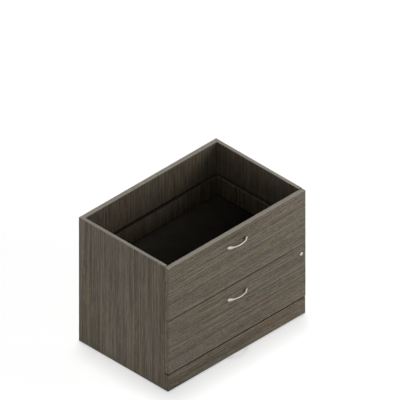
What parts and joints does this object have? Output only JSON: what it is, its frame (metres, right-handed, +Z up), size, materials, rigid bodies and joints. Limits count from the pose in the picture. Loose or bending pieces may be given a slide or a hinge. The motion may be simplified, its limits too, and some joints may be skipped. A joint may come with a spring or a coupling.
{
  "type": "credenza",
  "caption": "low open-topped office credenza in woodgrain laminate with wide full-extension drawers, bow handles, a gang lock, a kick board and levelling feet",
  "frame": {"origin": "bottom centre of the bounding box, handles included, on the floor", "axes": "+X to the right as seen from the front, +Y to the back, +Z up; the drawers open along -Y"},
  "size_m": [0.914, 0.623, 0.711],
  "materials": {
    "laminate_upright": "matte grey-brown woodgrain laminate, grain upright",
    "laminate_level": "matte grey-brown woodgrain laminate, grain level",
    "drawer_laminate": "matte grey-brown woodgrain laminate with black edge bands",
    "black_board": "black melamine-faced board",
    "beech": "plain beech",
    "slide_steel": "zinc-plated sheet",
    "zinc_steel": "zinc-plated steel",
    "satin_nickel": "satin nickel plate",
    "lock_chrome": "bright plate",
    "bumper_rubber": "soft clear rubber"
  },
  "bodies": {
    "case": {"left_end_panel": "laminate_upright", "right_end_panel": "laminate_upright", "back_panel": "laminate_upright", "bottom_panel": "laminate_upright", "kick_board": "laminate_level", "front_rail": "laminate_level", "case_dowels": "beech", "case_screws": "zinc_steel", "drawer_bumpers": "bumper_rubber", "leveller_brackets": "zinc_steel", "lock_bar_guides": "zinc_steel", "upper_left_case_slide": "slide_steel", "upper_right_case_slide": "slide_steel", "lower_left_case_slide": "slide_steel", "lower_right_case_slide": "slide_steel"},
    "upper_drawer": {"upper_drawer_front": "laminate_level", "upper_drawer_inner_front": "drawer_laminate", "upper_drawer_left_side": "drawer_laminate", "upper_drawer_right_side": "drawer_laminate", "upper_drawer_back": "drawer_laminate", "upper_drawer_bottom": "black_board", "upper_drawer_dowels": "beech", "upper_drawer_screws": "zinc_steel", "upper_handle": "satin_nickel", "upper_handle_screws": "zinc_steel", "upper_lock_catch": "zinc_steel", "upper_left_drawer_slide": "slide_steel", "upper_right_drawer_slide": "slide_steel"},
    "upper_middle_members": {"upper_left_middle_slide": "slide_steel", "upper_right_middle_slide": "slide_steel"},
    "upper_outer_cages": {"upper_outer_ball_cages": "slide_steel"},
    "upper_inner_cages": {"upper_inner_ball_cages": "slide_steel"},
    "lower_drawer": {"lower_drawer_front": "laminate_level", "lower_drawer_inner_front": "drawer_laminate", "lower_drawer_left_side": "drawer_laminate", "lower_drawer_right_side": "drawer_laminate", "lower_drawer_back": "drawer_laminate", "lower_drawer_bottom": "black_board", "lower_drawer_dowels": "beech", "lower_drawer_screws": "zinc_steel", "lower_handle": "satin_nickel", "lower_handle_screws": "zinc_steel", "lower_lock_catch": "zinc_steel", "lower_left_drawer_slide": "slide_steel", "lower_right_drawer_slide": "slide_steel", "lock_barrel": "lock_chrome", "lock_nut": "zinc_steel"},
    "lower_middle_members": {"lower_left_middle_slide": "slide_steel", "lower_right_middle_slide": "slide_steel"},
    "lower_outer_cages": {"lower_outer_ball_cages": "slide_steel"},
    "lower_inner_cages": {"lower_inner_ball_cages": "slide_steel"},
    "lock_plug": {"lock_plug": "lock_chrome", "lock_cam": "zinc_steel", "lock_cam_screw": "zinc_steel"},
    "lock_bar": {"lock_bar": "zinc_steel"},
    "levelling_foot_front_left": {"levelling_foot_front_left": "zinc_steel"},
    "levelling_foot_front_right": {"levelling_foot_front_right": "zinc_steel"},
    "levelling_foot_rear_left": {"levelling_foot_rear_left": "zinc_steel"},
    "levelling_foot_rear_right": {"levelling_foot_rear_right": "zinc_steel"}
  },
  "joints": [
    {"name": "upper_drawer_slide", "type": "slide", "parent": "case", "child": "upper_drawer", "axis": [0, -1, 0], "range_m": [0, 0.48]},
    {"name": "upper_middle_members_slide", "type": "slide", "parent": "case", "child": "upper_middle_members", "axis": [0, -1, 0], "range_m": [0, 0.24]},
    {"name": "upper_outer_cages_slide", "type": "slide", "parent": "case", "child": "upper_outer_cages", "axis": [0, -1, 0], "range_m": [0, 0.12]},
    {"name": "upper_inner_cages_slide", "type": "slide", "parent": "case", "child": "upper_inner_cages", "axis": [0, -1, 0], "range_m": [0, 0.36]},
    {"name": "lower_drawer_slide", "type": "slide", "parent": "case", "child": "lower_drawer", "axis": [0, -1, 0], "range_m": [0, 0.48]},
    {"name": "lower_middle_members_slide", "type": "slide", "parent": "case", "child": "lower_middle_members", "axis": [0, -1, 0], "range_m": [0, 0.24]},
    {"name": "lower_outer_cages_slide", "type": "slide", "parent": "case", "child": "lower_outer_cages", "axis": [0, -1, 0], "range_m": [0, 0.12]},
    {"name": "lower_inner_cages_slide", "type": "slide", "parent": "case", "child": "lower_inner_cages", "axis": [0, -1, 0], "range_m": [0, 0.36]},
    {"name": "lock_turn", "type": "hinge", "parent": "lower_drawer", "child": "lock_plug", "pos_m": [0.428, -0.2595, 0.3565], "axis": [0, 1, 0], "range_deg": [0, 90]},
    {"name": "lock_bar_lift", "type": "slide", "parent": "case", "child": "lock_bar", "axis": [0, 0, 1], "range_m": [0, 0.01202]},
    {"name": "foot_adjust_front_left", "type": "slide", "parent": "case", "child": "levelling_foot_front_left", "axis": [0, 0, -1], "range_m": [0, 0.015]},
    {"name": "foot_adjust_front_right", "type": "slide", "parent": "case", "child": "levelling_foot_front_right", "axis": [0, 0, -1], "range_m": [0, 0.015]},
    {"name": "foot_adjust_rear_left", "type": "slide", "parent": "case", "child": "levelling_foot_rear_left", "axis": [0, 0, -1], "range_m": [0, 0.015]},
    {"name": "foot_adjust_rear_right", "type": "slide", "parent": "case", "child": "levelling_foot_rear_right", "axis": [0, 0, -1], "range_m": [0, 0.015]}
  ],
  "couplings": [
    {"joint": "upper_middle_members_slide", "follows": "upper_drawer_slide", "ratio": 0.5},
    {"joint": "upper_outer_cages_slide", "follows": "upper_drawer_slide", "ratio": 0.25},
    {"joint": "upper_inner_cages_slide", "follows": "upper_drawer_slide", "ratio": 0.75},
    {"joint": "lower_middle_members_slide", "follows": "lower_drawer_slide", "ratio": 0.5},
    {"joint": "lower_outer_cages_slide", "follows": "lower_drawer_slide", "ratio": 0.25},
    {"joint": "lower_inner_cages_slide", "follows": "lower_drawer_slide", "ratio": 0.75},
    {"joint": "lock_turn", "follows": "lock_bar_lift", "rad_per_m": 130.67}
  ]
}
